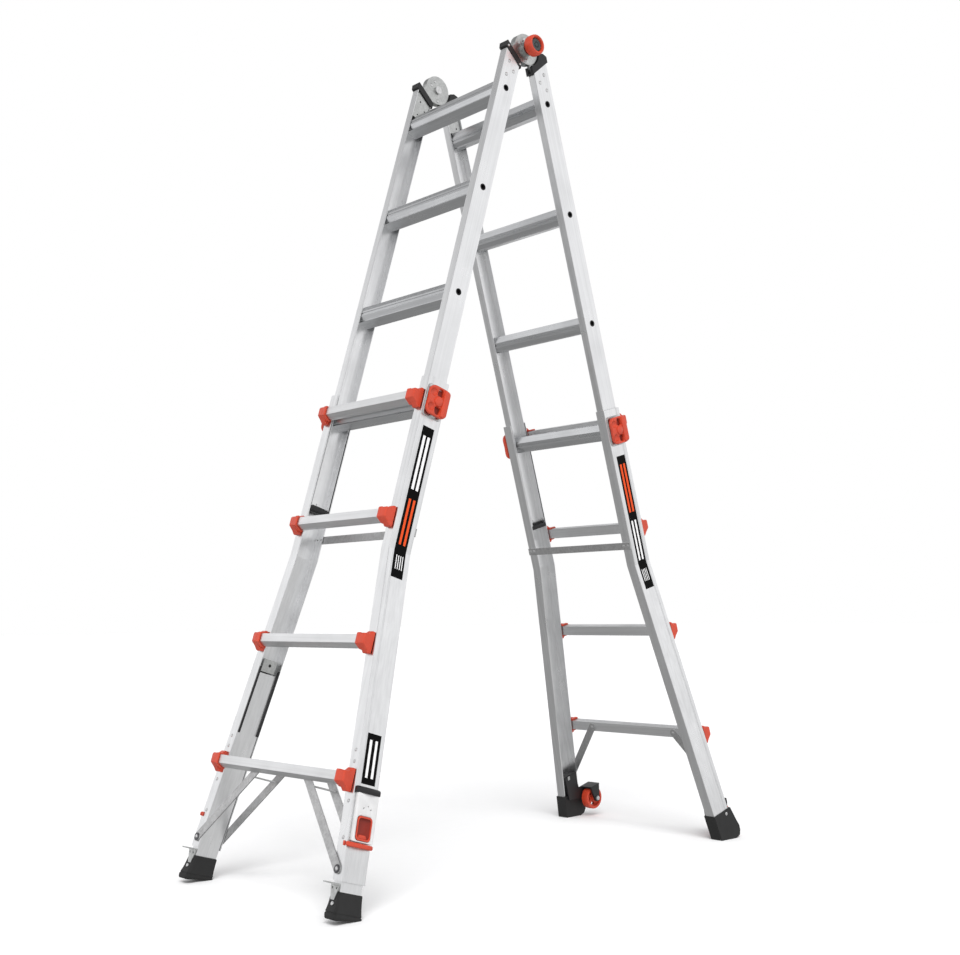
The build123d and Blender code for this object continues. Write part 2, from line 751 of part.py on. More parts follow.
with BuildPart() as wheel_brackets:
    for side in (-1, 1):
        with BuildSketch(web_plane(rear, side * 265.5)):
            with BuildLine():
                Polyline(
                    (15, -2114),
                    (62, -2114),
                    (66, -2164),
                    (118, -2164),
                    (118, -2176),
                    (106, -2216),
                    (90, -2217),
                    (72, -2200),
                    (15, -2185),
                    close=True,
                )
            make_face()
            with Locations((wheel_n, -wheel_s)):
                Circle(wheel_axle_r, mode=Mode.SUBTRACT)
        extrude(amount=side * 5)
        flared_block(rear, side, (2112, 2166), (-31, -3.2), (10, 68))
        with BuildSketch(web_plane(rear, side * 265.5)):
            with BuildLine():
                Polyline((79, -2164), (118, -2164), (118, -2168.5), (79, -2168.5), close=True)
            make_face()
        extrude(amount=side * 44.5)
        with BuildSketch(web_plane(rear, side * 227)):
            with BuildLine():
                Polyline((79, -2164), (118, -2164), (106, -2212), (97, -2217), (88, -2212), close=True)
            make_face()
            with Locations((wheel_n, -wheel_s)):
                Circle(wheel_axle_r, mode=Mode.SUBTRACT)
        extrude(amount=side * 6)
save(wheel_brackets.part, "wheel_brackets")

with BuildPart() as wheel_axles:
    for side in (-1, 1):
        with BuildSketch(web_plane(rear, side * 267.5)):
            with Locations((wheel_n, -wheel_s)):
                Circle(wheel_axle_r)
        extrude(amount=side * 49)
        with BuildSketch(web_plane(rear, side * 221)):
            with Locations((wheel_n, -wheel_s)):
                Circle(7)
        extrude(amount=side * 2.5)
save(wheel_axles.part, "wheel_axles")
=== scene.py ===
"""Looks for the multi position ladder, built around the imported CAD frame.

Leg coordinates, in millimetres: x along the rungs (world), n out of the leg toward its
climbing side, s down the rail from the hinge axis.
"""

import json
import math

import bmesh
import bpy
from mathutils import Matrix, Vector


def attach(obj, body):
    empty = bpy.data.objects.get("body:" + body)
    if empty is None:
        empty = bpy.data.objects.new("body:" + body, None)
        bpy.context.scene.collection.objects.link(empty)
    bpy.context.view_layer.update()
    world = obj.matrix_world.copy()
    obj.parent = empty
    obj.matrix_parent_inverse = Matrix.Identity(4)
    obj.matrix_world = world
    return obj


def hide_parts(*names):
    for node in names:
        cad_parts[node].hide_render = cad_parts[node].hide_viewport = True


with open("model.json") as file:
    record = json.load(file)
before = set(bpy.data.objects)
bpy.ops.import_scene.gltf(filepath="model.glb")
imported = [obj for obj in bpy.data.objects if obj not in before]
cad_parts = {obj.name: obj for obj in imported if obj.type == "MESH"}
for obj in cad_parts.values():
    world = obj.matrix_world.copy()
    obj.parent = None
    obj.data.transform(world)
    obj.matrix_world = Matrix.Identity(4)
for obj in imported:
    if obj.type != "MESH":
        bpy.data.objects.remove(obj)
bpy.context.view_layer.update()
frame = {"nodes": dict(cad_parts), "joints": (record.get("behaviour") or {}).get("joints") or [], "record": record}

MM = 0.001
TINY = 1e-6
JOINTS = {j["name"]: j for j in frame["joints"]}
HINGE = Vector(JOINTS["main_fold"]["pos_m"])
X_AXIS = Vector((1, 0, 0))

# Driving dimensions of the ladder, in millimetres
PITCH = 304.8
FIRST_RUNG = 150.0
RUNGS = [FIRST_RUNG + PITCH * k for k in range(7)]
RAIL_MID = 39.0  # n of the middle of every rail's web
INNER_HALF = 194.0  # x of the inner webs' outer faces
OUTER_HALF = 200.0  # x of the outer webs' outer faces, above the bend
OUTER_FACE = 72.5  # n of the outer rails' flange on the climbing side
BEND = 1445.0
FLARE = 0.138  # how far the web moves outward per millimetre below the bend
LOCK_S = RUNGS[3]
RUNG_DROP = {"front": 2.0, "rear": -18.0}  # outer rungs, down the rail from the pitch lines
SIDES = (("left", -1), ("right", 1))


class Leg:
    """A leg's own directions, read from its telescoping joint."""

    def __init__(self, name):
        self.name = name
        self.up = Vector(JOINTS[f"{name}_slide"]["axis"])
        self.sign = 1 if self.up.y > 0 else -1
        self.out = Vector((0, -self.sign * self.up.z, abs(self.up.y)))
        self.lean = math.atan2(abs(self.up.y), self.up.z)

    def at(self, x, n, s):
        return HINGE + (X_AXIS * x + self.out * n - self.up * s) * MM

    def ground(self, n):
        """Distance s at which the floor cuts a line at depth n."""
        return (HINGE.z / MM + n * math.sin(self.lean)) / math.cos(self.lean)


LEGS = {name: Leg(name) for name in ("front", "rear")}


def web_at(s):
    """Outer face of the outer rail's web."""
    return OUTER_HALF + max(0.0, s - BEND) * FLARE


# ------------------------------------------------------------------ placements
# Each gives a mapping from a solid's own (u, v, w) to a point of the frame.
def on_web(leg, side, x0):
    """(n, up, outward) on a plane parallel to the webs."""
    return lambda u, v, w: leg.at(side * (x0 + w), u, -v)


def inside_web(leg, side, x0):
    """(n, up, inward) on a plane parallel to the webs."""
    return lambda u, v, w: leg.at(side * (x0 - w), u, -v)


def on_face(leg, n0):
    """(x, up, toward the climbing side)."""
    return lambda u, v, w: leg.at(u, n0 + w, -v)


def on_back(leg, n0):
    """(x, up, away from the climbing side)."""
    return lambda u, v, w: leg.at(u, n0 - w, -v)


def down_rail(leg, side):
    """(x, n, s) on one side of the leg."""
    return lambda u, v, w: leg.at(side * u, v, w)


def on_flare(leg, side):
    """(offset from the web's outer face, n, s), following the bend."""
    return lambda u, v, w: leg.at(side * (web_at(w) + u), v, w)


def on_flared_web(leg, side):
    """(n, up, outward from the web's outer face), following the bend."""
    return lambda u, v, w: leg.at(side * (web_at(-v) + w), u, -v)


def on_axle(side):
    """(y, z, outward) about the main hinge axis."""
    return lambda u, v, w: HINGE + Vector((side * w, u, v)) * MM


def raised(place, height):
    """Another placement, moved along its w."""
    return lambda u, v, w: place(u, v, w + height)


# ------------------------------------------------------------------ outlines
def rounded(points, radius, steps=5):
    """Closed outline with its corners turned into arcs; radius is one number or a list."""
    count = len(points)
    radii = radius if isinstance(radius, list) else [radius] * count
    outline = []
    for i, p in enumerate(points):
        here = Vector(p)
        before = Vector(points[i - 1]) - here
        after = Vector(points[(i + 1) % count]) - here
        half = before.angle(after) / 2
        # an arc takes at most about half of each side, so that neighbouring arcs never meet
        reach = min(radii[i] / math.tan(half), 0.49 * before.length, 0.49 * after.length)
        if radii[i] <= 0 or reach < TINY:
            outline.append((here.x, here.y))
            continue
        r = reach * math.tan(half)
        middle = (before.normalized() + after.normalized()).normalized()
        centre = here + middle * (r / math.sin(half))
        start = here + before.normalized() * reach - centre
        end = here + after.normalized() * reach - centre
        a0 = math.atan2(start.y, start.x)
        sweep = (math.atan2(end.y, end.x) - a0 + math.pi) % (2 * math.pi) - math.pi
        for k in range(steps + 1):
            a = a0 + sweep * k / steps
            outline.append((centre.x + r * math.cos(a), centre.y + r * math.sin(a)))
    return outline


def box_outline(cx, cy, wide, high, r, steps=5):
    x0, x1 = cx - wide / 2, cx + wide / 2
    y0, y1 = cy - high / 2, cy + high / 2
    return rounded([(x0, y0), (x1, y0), (x1, y1), (x0, y1)], r, steps)


def circle(cx, cy, r, steps):
    turns = [2 * math.pi * k / steps for k in range(steps)]
    return [(cx + r * math.cos(a), cy + r * math.sin(a)) for a in turns]


def arch(n0, n1, low, high):
    """(offset, n) outline of a bowed bar standing on the web."""
    steps = 18
    bow = []
    for k in range(steps + 1):
        t = k / steps
        rise = math.sin(math.pi * t) ** 0.8
        bow.append((low + (high - low) * rise, n1 + (n0 - n1) * t))
    return [(0, n0), (0, n1)] + bow


def inset_outline(outline, inset):
    """The outline moved inward by inset along its corner bisectors."""
    if not inset:
        return outline
    following = outline[1:] + outline[:1]
    area = sum(a[0] * b[1] - b[0] * a[1] for a, b in zip(outline, following))
    turn = 1 if area > 0 else -1
    moved = []
    for i, p in enumerate(outline):
        here = Vector(p)
        e0 = (here - Vector(outline[i - 1])).normalized()
        e1 = (Vector(following[i]) - here).normalized()
        n0 = Vector((-e0.y, e0.x)) * turn
        n1 = Vector((-e1.y, e1.x)) * turn
        bisector = n0 + n1
        scale = 2 / max(0.5, bisector.length_squared)
        moved.append(tuple(here + bisector * (inset * scale)))
    return moved


# ------------------------------------------------------------------ solids
def loft(rings):
    """Walls between successive rings of points, closed by the first and the last ring."""
    bm = bmesh.new()
    rows = [[bm.verts.new(p) for p in ring] for ring in rings]
    for a, b in zip(rows, rows[1:]):
        for i in range(len(a)):
            j = (i + 1) % len(a)
            bm.faces.new((a[i], a[j], b[j], b[i]))
    bm.faces.new(rows[0][::-1])
    bm.faces.new(rows[-1])
    return bm


def stack(outline, levels):
    """The outline carried through levels of (w, inset)."""
    return loft([[(u, v, w) for u, v in inset_outline(outline, inset)] for w, inset in levels])


def lathe(profile, steps, centre=(0, 0), hollow=False):
    """Solid of revolution about w, from a profile of (radius, w).

    A radius of 0 closes an end in a point, and hollow joins the profile's end to its start.
    """
    bm = bmesh.new()
    rows = []
    for r, w in profile:
        ring = circle(*centre, r, steps) if r > TINY else [centre]
        rows.append([bm.verts.new((u, v, w)) for u, v in ring])
    pairs = list(zip(rows, rows[1:]))
    if hollow:
        pairs.append((rows[-1], rows[0]))
    else:
        for end in (rows[0], rows[-1]):
            if len(end) > 1:
                bm.faces.new(end)
    for a, b in pairs:
        for i in range(steps):
            j = (i + 1) % steps
            if len(a) == 1 and len(b) > 1:
                bm.faces.new((a[0], b[j], b[i]))
            elif len(b) == 1 and len(a) > 1:
                bm.faces.new((a[i], a[j], b[0]))
            elif len(a) > 1 and len(b) > 1:
                bm.faces.new((a[i], a[j], b[j], b[i]))
    return bm


def sheet(outlines, thickness, edge):
    """Plate standing on w 0, its corners rounded by edge; outlines after the first are holes."""
    curve = bpy.data.curves.new("sheet", "CURVE")
    curve.dimensions = "2D"
    curve.fill_mode = "BOTH"
    curve.extrude = thickness / 2 - edge
    curve.bevel_depth = edge
    curve.bevel_resolution = 1
    curve.offset = -edge
    for outline in outlines:
        spline = curve.splines.new("POLY")
        spline.points.add(len(outline) - 1)
        for point, (u, v) in zip(spline.points, outline):
            point.co = (u, v, 0, 1)
        spline.use_cyclic_u = True
    holder = bpy.data.objects.new("sheet", curve)
    bpy.context.scene.collection.objects.link(holder)
    evaluated = holder.evaluated_get(bpy.context.evaluated_depsgraph_get())
    mesh = bpy.data.meshes.new_from_object(evaluated)
    bm = bmesh.new()
    bm.from_mesh(mesh)
    bmesh.ops.remove_doubles(bm, verts=bm.verts, dist=0.001)
    bmesh.ops.translate(bm, verts=bm.verts, vec=(0, 0, thickness / 2))
    bpy.data.objects.remove(holder)
    bpy.data.curves.remove(curve)
    bpy.data.meshes.remove(mesh)
    return bm


def rivet_head(u, v, r, height):
    """Domed head standing on w 0, its foot sunk a little below."""
    foot = [(r, -0.3), (r, 0.25)]
    dome = [(r * 0.9, height * 0.6), (r * 0.6, height * 0.9), (r * 0.25, height), (0, height)]
    return lathe(foot + dome, 20, (u, v))


class Piece:
    """One Blender object gathered from solids, each placed by a mapping into the frame."""

    SHARP = math.radians(32)
    BEVELLED = math.radians(30)

    def __init__(self, name, body, slot, *materials):
        self.name = name
        self.body = body
        self.slot = slot
        self.materials = materials
        self.mesh = bmesh.new()

    def add(self, bm, place, bevel=0.0, material=0):
        """Takes in a solid, and gives it the material of that place in self.materials."""
        bmesh.ops.recalc_face_normals(bm, faces=bm.faces)
        if bevel:
            edges = [e for e in bm.edges if e.is_manifold and e.calc_face_angle() > self.BEVELLED]
            bmesh.ops.bevel(
                bm, geom=edges, offset=bevel, segments=3, profile=0.5, affect="EDGES", clamp_overlap=True
            )
        for v in bm.verts:
            v.co = place(*v.co)
        bmesh.ops.recalc_face_normals(bm, faces=bm.faces)
        for f in bm.faces:
            f.material_index = material
            f.smooth = True
        part = bpy.data.meshes.new("part")
        bm.to_mesh(part)
        bm.free()
        self.mesh.from_mesh(part)
        bpy.data.meshes.remove(part)

    def done(self, *nodes):
        """Makes the object, riding on its body and standing for the given CAD nodes."""
        mesh = bpy.data.meshes.new(self.name)
        self.mesh.to_mesh(mesh)
        self.mesh.free()
        mesh.set_sharp_from_angle(angle=self.SHARP)
        obj = bpy.data.objects.new(self.name, mesh)
        bpy.context.scene.collection.objects.link(obj)
        for m in self.materials:
            mesh.materials.append(m)
        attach(obj, self.body)
        if nodes:
            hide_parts(*nodes)


# ------------------------------------------------------------------ materials
# Texture scales are in cycles per metre, bump distances in metres.
class Shader:
    """A Principled material with helpers for its procedural detail."""

    def __init__(self, name, metallic=0.0, coat=0.0):
        self.material = bpy.data.materials.new(name)
        self.material.use_nodes = True
        self.nodes = self.material.node_tree.nodes
        self.links = self.material.node_tree.links
        self.bsdf = self.nodes["Principled BSDF"]
        self.bsdf.inputs["Metallic"].default_value = metallic
        self.bsdf.inputs["Coat Weight"].default_value = coat
        self.coords = self.nodes.new("ShaderNodeTexCoord").outputs["Object"]

    def mapped(self, scale, tilt=0.0):
        """Object coordinates turned by tilt about X, then scaled."""
        turn = self.nodes.new("ShaderNodeMapping")
        turn.inputs["Rotation"].default_value = (tilt, 0, 0)
        self.links.new(self.coords, turn.inputs["Vector"])
        stretch = self.nodes.new("ShaderNodeMapping")
        stretch.inputs["Scale"].default_value = scale
        self.links.new(turn.outputs["Vector"], stretch.inputs["Vector"])
        return stretch.outputs["Vector"]

    def noise(self, scale, tilt=0.0, detail=3.0, roughness=0.55):
        node = self.nodes.new("ShaderNodeTexNoise")
        node.inputs["Scale"].default_value = 1.0
        node.inputs["Detail"].default_value = detail
        node.inputs["Roughness"].default_value = roughness
        self.links.new(self.mapped(scale, tilt), node.inputs["Vector"])
        return node.outputs["Fac"]

    def cells(self, scale):
        node = self.nodes.new("ShaderNodeTexVoronoi")
        node.inputs["Scale"].default_value = 1.0
        self.links.new(self.mapped(scale), node.inputs["Vector"])
        return node.outputs["Color"]

    def ramp(self, source, low, high, a, b):
        """Source read between a and b gives a value between low and high."""
        node = self.nodes.new("ShaderNodeMapRange")
        for key, value in (("From Min", a), ("From Max", b), ("To Min", low), ("To Max", high)):
            node.inputs[key].default_value = value
        self.links.new(source, node.inputs["Value"])
        return node.outputs["Result"]

    def mix(self, factor, first, second):
        """Colours or sockets, blended from first at factor 0 to second at factor 1."""
        node = self.nodes.new("ShaderNodeMix")
        node.data_type = "RGBA"
        self.links.new(factor, node.inputs["Factor"])
        for socket, value in ((node.inputs["A"], first), (node.inputs["B"], second)):
            if isinstance(value, tuple):
                socket.default_value = (*value, 1)
            else:
                self.links.new(value, socket)
        return node.outputs["Result"]

    def set(self, key, source):
        """Gives an input of the Principled node a number or a socket."""
        if isinstance(source, (int, float)):
            self.bsdf.inputs[key].default_value = source
        else:
            self.links.new(source, self.bsdf.inputs[key])

    def bump(self, *layers):
        """Layers are (height source, strength, distance), chained."""
        previous = None
        for source, strength, distance in layers:
            node = self.nodes.new("ShaderNodeBump")
            node.inputs["Strength"].default_value = strength
            node.inputs["Distance"].default_value = distance
            self.links.new(source, node.inputs["Height"])
            if previous:
                self.links.new(previous, node.inputs["Normal"])
            previous = node.outputs["Normal"]
        self.links.new(previous, self.bsdf.inputs["Normal"])


def shade(tint, factor):
    return tuple(c * factor for c in tint)


# Fine die lines and wider bands, stretched along x for rungs or along the rail's length
DIE_LINES = {"x": (6, 900, 900), "rail": (900, 900, 5)}
DIE_BANDS = {"x": (3, 160, 160), "rail": (160, 160, 2.5)}


def extruded_metal(name, along, tint, rough, tilt=0.0):
    """Drawn aluminium: long die streaks, cloudy sheen and a few handling marks."""
    shader = Shader(name, metallic=1.0)
    lines = shader.noise(DIE_LINES[along], tilt, detail=2)
    bands = shader.noise(DIE_BANDS[along], tilt, detail=2)
    clouds = shader.noise((14, 14, 14), tilt, detail=4)
    marks = shader.noise((260, 260, 90), tilt, detail=6, roughness=0.7)
    colour = shader.mix(shader.ramp(bands, 0, 1, 0.3, 0.7), shade(tint, 0.9), tint)
    worn = shader.mix(shader.ramp(marks, 1, 0, 0.74, 0.84), shade(tint, 0.88), colour)
    shader.set("Base Color", worn)
    shader.set("Roughness", shader.ramp(clouds, rough - 0.06, rough + 0.07, 0.3, 0.7))
    shader.set("Anisotropic", 0.35)
    shader.bump((lines, 0.10, 0.0002), (bands, 0.12, 0.0005), (marks, 0.02, 0.0002))
    return shader.material


def plated_metal(name, tint, rough):
    """Zinc-plated pressed steel: crystalline patches under a soft haze."""
    shader = Shader(name, metallic=1.0)
    crystals = shader.cells((210, 210, 210))
    haze = shader.noise((45, 45, 45), detail=5)
    grain = shader.noise((900, 900, 900), detail=2)
    colour = shader.mix(shader.ramp(crystals, 0, 1, 0.1, 0.9), shade(tint, 0.82), tint)
    shader.set("Base Color", colour)
    shader.set("Roughness", shader.ramp(haze, rough - 0.08, rough + 0.12, 0.3, 0.7))
    shader.bump((grain, 0.12, 0.0002), (haze, 0.15, 0.0008))
    return shader.material


def moulded_plastic(name, tint, rough, texture=700.0, depth=0.00025, coat=0.0):
    """Moulded part: fine spark-eroded grain, faint flow clouds, scuffed highs."""
    shader = Shader(name, coat=coat)
    grain = shader.noise((texture,) * 3, detail=3, roughness=0.6)
    flow = shader.noise((38, 38, 22), detail=4)
    scuffs = shader.noise((420, 120, 420), detail=6, roughness=0.75)
    colour = shader.mix(shader.ramp(flow, 0, 1, 0.3, 0.7), shade(tint, 0.86), tint)
    pale = tuple(min(1, c * 1.25 + 0.02) for c in tint)
    shader.set("Base Color", shader.mix(shader.ramp(scuffs, 0, 0.7, 0.68, 0.78), colour, pale))
    shader.set("Roughness", shader.ramp(flow, rough - 0.05, rough + 0.08, 0.3, 0.7))
    shader.bump((grain, 0.25, depth), (flow, 0.1, 0.0012))
    return shader.material


def printed_vinyl(name, tint):
    """Matt label film with slight orange peel and a little dust."""
    shader = Shader(name)
    shader.set("Specular IOR Level", 0.08)
    peel = shader.noise((260, 260, 260), detail=2)
    dust = shader.noise((1500, 1500, 1500), detail=5, roughness=0.8)
    dusty = tuple(min(1, c + 0.06) for c in tint)
    shader.set("Base Color", shader.mix(shader.ramp(dust, 0, 1, 0.66, 0.8), tint, dusty))
    shader.set("Roughness", shader.ramp(peel, 0.50, 0.63, 0.3, 0.7))
    shader.bump((peel, 0.12, 0.0002))
    return shader.material


RAIL_TINT = (0.90, 0.905, 0.91)
RAIL = {
    name: extruded_metal(f"{name}_rail_aluminium", "rail", RAIL_TINT, 0.32, leg.lean * leg.sign)
    for name, leg in LEGS.items()
}
RUNG = extruded_metal("rung_aluminium", "x", (0.68, 0.69, 0.70), 0.30)
TREAD = extruded_metal("tread_aluminium", "x", RAIL_TINT, 0.40)
ZINC = plated_metal("zinc_plate", (0.62, 0.63, 0.62), 0.36)
RIVET = plated_metal("rivet_zinc", (0.78, 0.78, 0.78), 0.3)
STRAP = plated_metal("strap_steel", (0.64, 0.64, 0.64), 0.42)
RED = moulded_plastic("red_plastic", (0.56, 0.052, 0.020), 0.42, coat=0.08)
# the same red plastic darkened for the lever pockets and the button's dish: painted shade in these recesses
RED_PAINTED_SHADE = moulded_plastic("red_plastic_painted_shade", (0.22, 0.018, 0.009), 0.6)
BLACK = moulded_plastic("black_plastic", (0.012, 0.012, 0.013), 0.45)
RUBBER = moulded_plastic("foot_rubber", (0.013, 0.013, 0.013), 0.6, texture=420.0, depth=0.0004)
WHITE = moulded_plastic("cover_plastic", (0.68, 0.68, 0.68), 0.42)
HOUSING = plated_metal("base_plate", (0.74, 0.74, 0.74), 0.34)
DEEP = moulded_plastic("insert_plastic", (0.018, 0.028, 0.030), 0.3, coat=0.3)
# near-black for the block behind the leveler cover's small holes: painted shadow
SHADOW = moulded_plastic("painted_hole_shadow", (0.03, 0.02, 0.02), 0.7)
DARK_STEEL = plated_metal("washer_steel", (0.16, 0.16, 0.17), 0.45)
LABEL = printed_vinyl("label_black", (0.002, 0.002, 0.002))
LABEL_RED = printed_vinyl("label_red", (0.70, 0.08, 0.02))
LABEL_WHITE = printed_vinyl("label_white", (0.78, 0.78, 0.78))

BY_SLOT = {
    "rung_aluminium": RUNG,
    "plate_steel": ZINC,
    "rivet_steel": RIVET,
    "red_plastic": RED,
    "black_plastic": BLACK,
    "foot_rubber": RUBBER,
}


# ------------------------------------------------------------------ the CAD frame's own look
# Edge widths in millimetres for CAD nodes shown as they are, by a part of the node's name
SOFT_EDGES = {
    "inner_rungs": 0.5,
    "outer_rungs": 0.7,
    "hinge_plates": 0.5,
    "hinge_trims": 1.2,
    "cross_strap": 0.5,
    "braces": 0.5,
    "wheel_brackets": 1.0,
    "rear_feet": 2.2,
    "foot_pedal": 0.5,
    "leveler_pawls": 0.6,
    "leveler_liners": 0.5,
    "hinge_axles": 0.5,
    "leveler_leg": 0.5,
}


def dress_frame():
    """Procedural finishes for every CAD node."""
    for entry in frame["record"]["subparts"]:
        node = entry["node"]
        material = BY_SLOT.get(entry["material_slot"])
        if entry["material_slot"] == "rail_aluminium":
            material = RAIL["rear" if node.startswith("rear") else "front"]
        if node.endswith("outer_rungs"):
            material = TREAD
        if node.endswith(("braces", "cross_strap")):
            material = STRAP
        mesh = frame["nodes"][node].data
        mesh.materials.clear()
        mesh.materials.append(material)


def soften_frame():
    """Rounded edges for the CAD nodes named in SOFT_EDGES."""
    for node, obj in frame["nodes"].items():
        width = next((w for key, w in SOFT_EDGES.items() if key in node), None)
        if width:
            bevel = obj.modifiers.new("edge", "BEVEL")
            bevel.width = width * MM
            bevel.segments = 2
            bevel.limit_method = "ANGLE"
            bevel.angle_limit = math.radians(40)
            bevel.harden_normals = True


dress_frame()
soften_frame()


# ------------------------------------------------------------------ inner sections
INNER_WEB = 2.5  # wall thickness
HINGE_RIVETS = ((48, 70), (27, 91), (48, 112))  # (n, s)
GUIDE_RIVET_S = 1300.0
# Black barrel reaching 24 mm into the rung's bore: partly the bushing, partly painted shade standing in for the
# dark bore
BUSHING_BARREL_AND_BORE_SHADE = [(6.15, -24), (6.7, -24), (6.7, -0.2)]
BUSHING_LIP = [(8.9, 0), (8.9, 0.5), (8.3, 1.0), (7.0, 1.0), (6.15, 0.3)]

SHOE = box_outline(183.4, RAIL_MID, 26.4, 59.6, 3)  # (x, n)
SHOE_LEVELS = [(1312, 0.8), (1312.8, 0), (1320, 0), (1323, 1.4), (1324, 3.2)]  # (s, inset)
PLUG = box_outline(186, RAIL_MID, 10, 50, 2)
PLUG_LEVELS = [(1306, 0.8), (1306.8, 0), (1313, 0)]


def build_inner_details(leg):
    """Bushings of the inner rungs above the locks, their black barrels also painted shade deep in the bores, and
    the rivets of the inner rails.
    """
    body = f"{leg.name}_inner"
    bushings = Piece(f"{body}_bushings", body, "black_plastic", BLACK)
    rivets = Piece(f"{body}_rivet_heads", body, "rivet_steel", RIVET)
    for _, side in SIDES:
        web = on_web(leg, side, INNER_HALF)
        inside = inside_web(leg, side, INNER_HALF - INNER_WEB)
        for s in RUNGS[:3]:
            sleeve = BUSHING_BARREL_AND_BORE_SHADE + BUSHING_LIP
            bushings.add(lathe(sleeve, 32, (RAIL_MID, -s), hollow=True), web)
        for n, s in HINGE_RIVETS:
            rivets.add(rivet_head(n, -s, r=5.2, height=1.7), web)
            rivets.add(rivet_head(n, -s, r=4.2, height=1.2), inside)
        rivets.add(rivet_head(RAIL_MID, -GUIDE_RIVET_S, r=5.2, height=1.7), web)
    bushings.done()
    rivets.done(f"{leg.name}_inner_rivets")


def build_guides(leg):
    """Low shoe under each inner rail, with a short plug reaching up into the channel."""
    piece = Piece(f"{leg.name}_guide_mouldings", f"{leg.name}_inner", "black_plastic", BLACK)
    for _, side in SIDES:
        rail = down_rail(leg, side)
        piece.add(stack(SHOE, SHOE_LEVELS), rail)
        piece.add(stack(PLUG, PLUG_LEVELS), rail)
    piece.done(f"{leg.name}_slide_guides")


# ------------------------------------------------------------------ main hinge
HINGE_OUTSIDE = 191.5  # x of the front leg's outermost plate face
HINGE_INSIDE = {"front": 172.5, "rear": 177.0}  # x of each leg's innermost plate face
HINGE_BOLTS = ((17, 20), (25, 3), (-9, -31))  # (n, up)
HINGE_BOLT = [(6.6, -0.2), (6.6, 0.5), (5.8, 0.9), (4.4, 0.9), (4.4, 2.0), (3.6, 2.9), (0, 3.1)]
HINGE_COLLAR = [(19.4, 8.4), (19.4, 8.9), (18.2, 9.5), (9.5, 9.5), (8.4, 8.9), (8.4, 8.4)]
TRIM_FACE = 195.5  # x
TRIM_RIVETS = ((63.5, 30.5), (12, 57.5))  # (n, s)

# Knob profiles are (radius, x)
KNOB_SHELL = [(0, 211), (20, 211), (25.2, 210.2), (27.2, 211.6), (28, 214.5), (28, 224)]
KNOB_RIM = [(27.4, 230), (26, 234), (24, 236), (21.6, 236), (19.8, 234.6), (18.8, 231.5)]
KNOB_WELL = [(18.2, 228), (0, 228)]
KNOB_INSERT = [
    (0, 227.6), (18, 227.6), (18, 229.4), (16.4, 230.6), (10, 231), (8, 230.4), (7.2, 229.2), (0, 229.2),
]
KNOB_CENTRE = [(6.4, 228.6), (6.4, 230.2), (5.2, 231.2), (0, 231.4)]


def build_hinge_details(leg):
    """Bolt heads on the hinge plates; the front leg's plates are the outermost."""
    body = f"{leg.name}_inner"
    bolts = Piece(f"{leg.name}_hinge_bolts", body, "rivet_steel", RIVET)
    for _, side in SIDES:
        if leg.name == "front":
            outside = on_web(leg, side, HINGE_OUTSIDE)
            for at in HINGE_BOLTS:
                bolts.add(lathe(HINGE_BOLT, 24, at), outside)
            bolts.add(lathe(HINGE_COLLAR, 40), outside)
            for n, s in TRIM_RIVETS:
                bolts.add(rivet_head(n, -s, r=3.6, height=1.6), on_web(leg, side, TRIM_FACE))
        inside = inside_web(leg, side, HINGE_INSIDE[leg.name])
        for at in HINGE_BOLTS:
            bolts.add(rivet_head(*at, r=4.4, height=1.5), inside)
    bolts.done()


def build_knob(hand, side):
    """Palm knob: a red cup with a dark insert in its face."""
    body = f"hinge_knob_{hand}"
    knob = Piece(f"{body}_moulding", body, "red_plastic", RED, DEEP)
    around = on_axle(side)
    knob.add(lathe(KNOB_SHELL + KNOB_RIM + KNOB_WELL, 56), around)
    knob.add(lathe(KNOB_INSERT, 48), around, material=1)
    knob.add(lathe(KNOB_CENTRE, 24), around, material=1)
    knob.done(body)


# ------------------------------------------------------------------ rung brackets
# Outlines are (n, up) from the middle of an outer rung
BLOCK = [
    (72.5, 25), (80, 26), (88, 18), (100, 17), (102.5, 14), (102.5, -7), (90, -17), (82, -26), (72.5, -25),
]
BLOCK_RADII = [0.5, 3, 6, 3, 3, 5, 6, 3, 0.5]
BLOCK_LEVELS = [(0, 0.7), (0.7, 0), (17, 0), (19.2, 0.8), (20, 1.8)]
BLOCK_BACK = 25  # inward from the web's outer face
CUP_OUTER = [(77, 18), (101, 18), (102.5, 15), (102.5, -8), (86, -18), (77, -18)]
CUP_INNER = [(77, -14.2), (84, -14.2), (98.7, -6.1), (98.7, 14.2), (77, 14.2)]
CUP_BACK = 36
CUP_LEVELS = [(0, 0), (11.5, 0)]


def build_brackets(leg):
    """A block on the rail and an open cup around the rung's end, at each outer rung's ends."""
    piece = Piece(f"{leg.name}_bracket_mouldings", f"{leg.name}_outer", "red_plastic", RED)
    for s in RUNGS[3:]:
        middle = s + RUNG_DROP[leg.name]
        block = rounded([(n, v - middle) for n, v in BLOCK], BLOCK_RADII)
        cup = [(n, v - middle) for n, v in CUP_OUTER + CUP_INNER]
        for _, side in SIDES:
            piece.add(stack(block, BLOCK_LEVELS), on_web(leg, side, web_at(s) - BLOCK_BACK))
            piece.add(stack(cup, CUP_LEVELS), on_web(leg, side, web_at(s) - CUP_BACK), bevel=0.9)
    piece.done(f"{leg.name}_rung_brackets")


